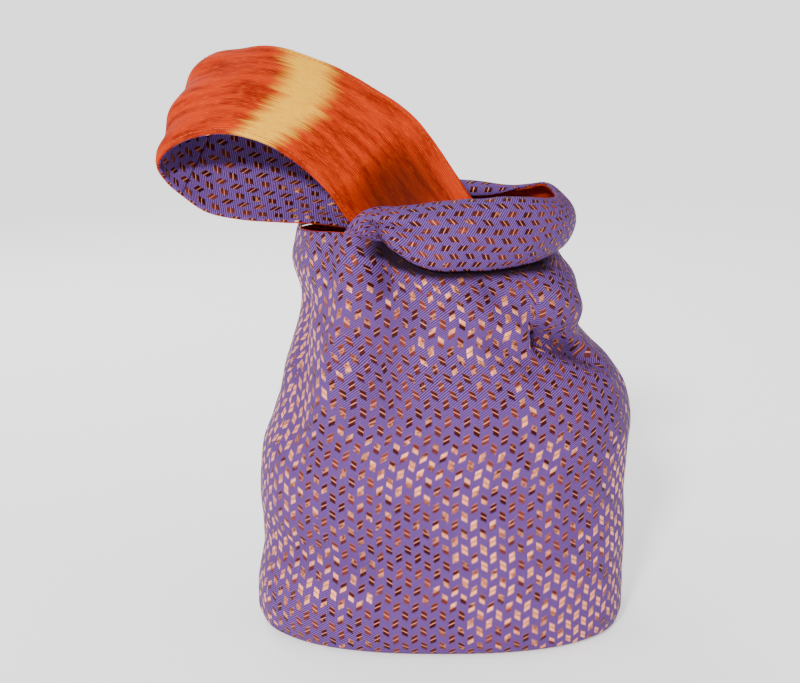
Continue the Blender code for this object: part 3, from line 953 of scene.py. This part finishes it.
def stitch_nodes():
    """Nodes that lay a row of stitches along a curve."""
    tree = bpy.data.node_groups.new("stitches", "GeometryNodeTree")
    face = tree.interface
    face.new_socket("Curve", in_out="INPUT", socket_type="NodeSocketGeometry")
    for name in ("Pitch", "Length", "Thickness"):
        face.new_socket(name, in_out="INPUT", socket_type="NodeSocketFloat")
    face.new_socket("Thread", in_out="INPUT", socket_type="NodeSocketMaterial")
    face.new_socket("Stitches", in_out="OUTPUT", socket_type="NodeSocketGeometry")
    nodes, links = tree.nodes, tree.links
    given = nodes.new("NodeGroupInput")
    spread = nodes.new("GeometryNodeResampleCurve")
    spread.mode = "LENGTH"
    places = nodes.new("GeometryNodeCurveToPoints")
    places.mode = "EVALUATED"
    ball = nodes.new("GeometryNodeMeshUVSphere")
    for name, value in (("Segments", 8), ("Rings", 6), ("Radius", 0.5)):
        ball.inputs[name].default_value = value
    size = nodes.new("ShaderNodeCombineXYZ")
    stretch = nodes.new("GeometryNodeTransform")
    laid = nodes.new("GeometryNodeInstanceOnPoints")
    real = nodes.new("GeometryNodeRealizeInstances")
    dyed = nodes.new("GeometryNodeSetMaterial")
    result = nodes.new("NodeGroupOutput")
    for start, end in (
        (given.outputs["Curve"], spread.inputs["Curve"]),
        (given.outputs["Pitch"], spread.inputs["Length"]),
        (spread.outputs["Curve"], places.inputs["Curve"]),
        (given.outputs["Thickness"], size.inputs[0]),
        (given.outputs["Thickness"], size.inputs[1]),
        (given.outputs["Length"], size.inputs[2]),
        (size.outputs[0], stretch.inputs["Scale"]),
        (ball.outputs["Mesh"], stretch.inputs["Geometry"]),
        (places.outputs["Points"], laid.inputs["Points"]),
        (places.outputs["Rotation"], laid.inputs["Rotation"]),
        (stretch.outputs["Geometry"], laid.inputs["Instance"]),
        (laid.outputs["Instances"], real.inputs["Geometry"]),
        (real.outputs["Geometry"], dyed.inputs["Geometry"]),
        (given.outputs["Thread"], dyed.inputs["Material"]),
        (dyed.outputs["Geometry"], result.inputs["Stitches"]),
    ):
        links.new(start, end)
    return tree


def stitch_row(name, line, tree, material):
    """A row of stitches along a line of points."""
    route = bpy.data.curves.new(name, "CURVE")
    route.dimensions = "3D"
    path = route.splines.new("POLY")
    path.points.add(len(line) - 1)
    path.points.foreach_set("co", np.concatenate([line, np.ones((len(line), 1))], axis=1).ravel())
    guide = bpy.data.objects.new(name + "_line", route)
    bpy.context.collection.objects.link(guide)
    modifier = guide.modifiers.new("stitches", "NODES")
    modifier.node_group = tree
    values = {
        "Pitch": STITCH_PITCH,
        "Length": STITCH_LENGTH,
        "Thickness": THREAD,
        "Thread": material,
    }
    for socket in tree.interface.items_tree:
        if socket.in_out == "INPUT" and socket.name in values:
            modifier[socket.identifier] = values[socket.name]
    ready = guide.evaluated_get(bpy.context.evaluated_depsgraph_get())
    mesh = bpy.data.meshes.new_from_object(ready)
    piece = bpy.data.objects.new(name, mesh)
    bpy.context.collection.objects.link(piece)
    bpy.data.objects.remove(guide)
    for face in mesh.polygons:
        face.use_smooth = True
    return piece


def base_piece(material):
    """The flat oval base, its edge rounded."""
    direction = np.linspace(0.0, 360.0, BASE_COLUMNS, endpoint=False)
    edge = body_points(direction, 0.0)
    top = OUTER_CLOTH - CLOSE_GAP / 2
    section = [(reach, 0.0) for reach in (*BASE_REACHES, BASE_FLAT)]
    section += [(BASE_EDGE, BASE_ROUND), (BASE_EDGE, top)]
    section += [(reach, top) for reach in reversed(BASE_REACHES)]
    rings = []
    for reach, height in section:
        ring = edge * np.array([reach, reach, 0.0]) + np.array([0.0, 0.0, height])
        rings.append(ring[:1] if reach == 0.0 else ring)
    mesh = bpy.data.meshes.new("base")
    work = bmesh.new()
    rows = [[work.verts.new(p) for p in ring] for ring in rings]
    for lower, upper in zip(rows, rows[1:]):
        for i in range(len(direction)):
            j = (i + 1) % len(direction)
            if len(lower) == 1:
                work.faces.new([lower[0], upper[j], upper[i]])
            elif len(upper) == 1:
                work.faces.new([lower[i], lower[j], upper[0]])
            else:
                work.faces.new([lower[i], lower[j], upper[j], upper[i]])
    layer = work.loops.layers.uv.new("cloth")
    for face in work.faces:
        face.smooth = True
        for loop in face.loops:
            loop[layer].uv = loop.vert.co.xy
    bmesh.ops.recalc_face_normals(work, faces=work.faces[:])
    work.to_mesh(mesh)
    work.free()
    mesh.materials.append(material)
    piece = bpy.data.objects.new("base", mesh)
    bpy.context.collection.objects.link(piece)
    return piece


def lining_piece(material):
    """The lining cup: floor and wall in one, just inside the outer cloth."""
    direction = np.linspace(0.0, 360.0, LINING_COLUMNS, endpoint=False)
    share = np.concatenate([np.linspace(0.0, 1.0, LINING_ROWS)[:-1], [0.997, 1.0]])
    turn, share = np.meshgrid(direction, share)
    height = LINING_LOW + (rim_height(turn) + RIM_RISE - LINING_LOW) * share
    grid = wall(turn, height, closed=True)
    under = OUTER_CLOTH + LAYER_GAP
    sides = []
    for depth in (under, under + LINING_CLOTH):
        side = below(grid, depth, closed=True)
        side[-1, :, 2] = height[-1]
        level = depth + LAYER_GAP
        rows = []
        for reach, rise in LINING_FLOOR:
            ring = side[0] * np.array([reach, reach, 0.0])
            ring[:, 2] = level + (side[0, :, 2] - level) * rise
            rows.append(ring)
        sides.append(np.concatenate([np.stack(rows), side]))
    outer, inner = sides
    around = np.radians(direction) * BODY_WIDTH / 2
    flat = np.stack([np.tile(around, (len(outer), 1)), arc(outer, 0)], axis=-1)
    return face_outwards(cloth_mesh("lining", outer, inner, flat, material, wrap=True)), flat


def strap_piece(name, points, u, strips, top, thickness, shown, material, ripple=1.0, painted_shade=None):
    """One layer of a handle, its top side a depth below the surface. Shown says which side is
    seen: that side rounds down to the other at the hems."""
    place, share = np.meshgrid(u, with_hems(strips, HEM / HANDLE_WIDTH))
    grid = strip(points, place, share, ripple)
    thin = 2 * hem(to_edge(grid), thickness)
    if shown == "outer":
        outer, inner = below(grid, top + thin * HEM_TAPER), below(grid, top + thickness)
    else:
        outer, inner = below(grid, top), below(grid, top + thickness - thin * HEM_TAPER)
    line = points(u, 0.5 + 0.0 * u)
    before = points(np.linspace(0.0, u[0], 60), np.full(60, 0.5))
    start = np.linalg.norm(np.diff(before, axis=0), axis=-1).sum()
    steps = np.linalg.norm(np.diff(line, axis=0), axis=-1)
    run = start + np.concatenate([[0.0], np.cumsum(steps)])
    wide = arc(grid, 0)
    wide = (wide / wide[-1:] - 0.5) * HANDLE_WIDTH
    flat = np.stack([wide, np.tile(run, (len(grid), 1))], axis=-1)
    # Painted shade, for the pieces that have it
    dark = None if painted_shade is None else painted_shade(place, share)
    return face_outwards(cloth_mesh(name, outer, inner, flat, material, painted_shade=dark)), flat


def collar_painted_shade(place, share):
    """Painted shade of the collar: its lower edge in front, and the pocket at its left end."""
    lower = 1 - ease(share - LOWER_ACROSS[0], LOWER_ACROSS[1])
    lower = lower * ease(place - LOWER_START[0], LOWER_START[1])
    lower = lower * ease(LOWER_END[0] - place, LOWER_END[1])
    along = (place - POCKET_PLACE[0]) / POCKET_SIZE[0]
    beside = (share - POCKET_PLACE[1]) / POCKET_SIZE[1]
    pocket = np.exp(-(along ** 2) - beside ** 2)
    return np.maximum(LOWER_SHADE * lower, POCKET_SHADE * pocket)


def cut_size(flat):
    """Width and length of the rectangle that a flat cloth was cut from."""
    width = flat[..., 0].max() - flat[..., 0].min()
    length = flat[..., 1].max() - flat[..., 1].min()
    return float(width), float(length)


def keep(piece, node):
    """The piece stands for its node, which is hidden, and hangs from the root."""
    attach(piece, "root")
    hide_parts(node)
    return piece


brocade = brocade_cloth()
ikat = ikat_cloth("ikat", banded=True)
plain_lining = ikat_cloth("lining", banded=False)

front, front_flat = panel_piece(
    "front_panel", LEFT_SEAM, RIGHT_SEAM + 360.0, FRONT_CENTER, brocade)
back, back_flat = panel_piece("back_panel", RIGHT_SEAM, LEFT_SEAM, BACK_CENTER, brocade)
base = base_piece(brocade)
lining, lining_flat = lining_piece(plain_lining)

u = with_hems(COLLAR_GRID[0], COLLAR_END)
collar, collar_flat = strap_piece(
    "collar", collar_points, u, COLLAR_GRID[1], 0.0, OUTER_CLOTH,
    "outer", brocade, painted_shade=collar_painted_shade)
u = COLLAR_LINING_START + COLLAR_LINING_LENGTH * u
collar_lining, collar_lining_flat = strap_piece(
    "collar_lining", collar_points, u, COLLAR_GRID[1], OUTER_CLOTH + CLOSE_GAP, LINING_CLOTH,
    "inner", plain_lining)

second = LINING_CLOTH + CLOSE_GAP
u = with_hems(LOOP_GRID[0], LOOP_END)
band_lining, band_lining_flat = strap_piece(
    "band_lining", loop_points, u, LOOP_GRID[1], 0.0, LINING_CLOTH,
    "outer", ikat, LOOP_RIPPLE)
u = (LOOP_SEAM - CROSS_SEAM) * with_hems(BACK_STEPS, BACK_END)
band_back, band_back_flat = strap_piece(
    "band_back", loop_points, u, LOOP_GRID[1], second, OUTER_CLOTH,
    "inner", brocade, LOOP_RIPPLE)
u = LOOP_SEAM + CROSS_SEAM + (1 - LOOP_SEAM - CROSS_SEAM) * with_hems(FRONT_STEPS, FRONT_END)
band_front, band_front_flat = strap_piece(
    "band_front", loop_points, u, LOOP_GRID[1], second, OUTER_CLOTH,
    "inner", brocade, LOOP_RIPPLE)

for piece, node, slot in (
    (front, "outer_front", "brocade"),
    (back, "outer_back", "brocade"),
    (base, "outer_base", "brocade"),
    (collar, "short_handle", "brocade"),
    (band_front, "long_handle_front", "brocade"),
    (band_back, "long_handle_back", "brocade"),
    (lining, "body_lining", "lining"),
    (collar_lining, "short_handle_lining", "lining"),
    (band_lining, "long_handle_lining", "lining"),
):
    keep(piece, node)

# Rows of topstitching beside both edges of the long handle, on its orange side
thread = thread_cloth("thread", THREAD_ORANGE)
sewing = stitch_nodes()
place = np.linspace(STITCH_START, STITCH_END, STITCH_STEPS)
for name, share in (
    ("near_stitches", 1 - STITCH_INSET / HANDLE_WIDTH),
    ("far_stitches", STITCH_INSET / HANDLE_WIDTH),
):
    beside = (share - STITCH_SIDE, share, share + STITCH_SIDE)
    grid = strip(loop_points, *np.meshgrid(place, beside), LOOP_RIPPLE)
    row = stitch_row(name, below(grid, -THREAD * THREAD_RISE)[1], sewing, thread)
    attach(row, "root")

for piece, flat, rests in (
    (front, front_flat, [base]),
    (back, back_flat, [base]),
    (collar, collar_flat, [front, back]),
    (band_front, band_front_flat, [band_lining]),
    (band_back, band_back_flat, [band_lining]),
    (lining, lining_flat, [base]),
    (collar_lining, collar_lining_flat, [collar]),
    (band_lining, band_lining_flat, [lining]),
):
    width, length = cut_size(flat)
foot = SECTIONS[0]
width = BODY_WIDTH * foot[2]
length = BODY_DEPTH * foot[4]

corners = [(-FLOOR, -FLOOR, 0), (FLOOR, -FLOOR, 0), (FLOOR, FLOOR, 0), (-FLOOR, FLOOR, 0)]
floor_mesh = bpy.data.meshes.new("floor")
floor_mesh.from_pydata(corners, [], [(0, 1, 2, 3)])
floor = bpy.data.objects.new("floor", floor_mesh)
bpy.context.collection.objects.link(floor)
floor_mesh.materials.append(Shader("floor").finish(
    Base_Color=PAPER, Roughness=0.95, Emission_Color=WHITE, Emission_Strength=PAPER_GLOW))


def soft_light(name, place, aim, size, power):
    """A square soft light at a place, aimed at a point."""
    light = bpy.data.lights.new(name, "AREA")
    light.shape = "SQUARE"
    light.size = size
    light.energy = power
    holder = bpy.data.objects.new(name, light)
    holder.location = place
    toward = Vector(aim) - Vector(place)
    holder.rotation_euler = toward.to_track_quat("-Z", "Y").to_euler()
    bpy.context.collection.objects.link(holder)


sun = bpy.data.lights.new("key", "SUN")
sun.energy = KEY_POWER
sun.angle = math.radians(KEY_WIDTH)
key = bpy.data.objects.new("key", sun)
key.rotation_euler = Vector(KEY_DIRECTION).to_track_quat("-Z", "Y").to_euler()
bpy.context.collection.objects.link(key)
for light in SOFT_LIGHTS:
    soft_light(*light)


def studio_world():
    """A bright ceiling over darker walls."""
    world = bpy.data.worlds.new("studio")
    bpy.context.scene.world = world
    world.use_nodes = True
    nodes, links = world.node_tree.nodes, world.node_tree.links
    place = nodes.new("ShaderNodeTexCoord")
    parts = nodes.new("ShaderNodeSeparateXYZ")
    rise = nodes.new("ShaderNodeMapRange")
    rise.interpolation_type = "SMOOTHSTEP"
    for name, value in (
        ("From Min", 0.0),
        ("From Max", CEILING_RISE),
        ("To Min", WALLS),
        ("To Max", CEILING),
    ):
        rise.inputs[name].default_value = value
    links.new(place.outputs["Generated"], parts.inputs[0])
    links.new(parts.outputs["Z"], rise.inputs["Value"])
    links.new(rise.outputs["Result"], nodes["Background"].inputs["Strength"])
    nodes["Background"].inputs["Color"].default_value = (*WHITE, 1.0)


studio_world()

# The photograph's view
camera = bpy.data.cameras.new("camera")
camera.sensor_width = SENSOR
camera.lens = LENS_PIXELS * SENSOR / WIDTH_PIXELS
holder = bpy.data.objects.new("camera", camera)
holder.location = CAMERA_PLACE
holder.rotation_euler = (math.pi / 2 - math.radians(CAMERA_DOWN), 0.0, 0.0)
bpy.context.collection.objects.link(holder)
bpy.context.scene.camera = holder
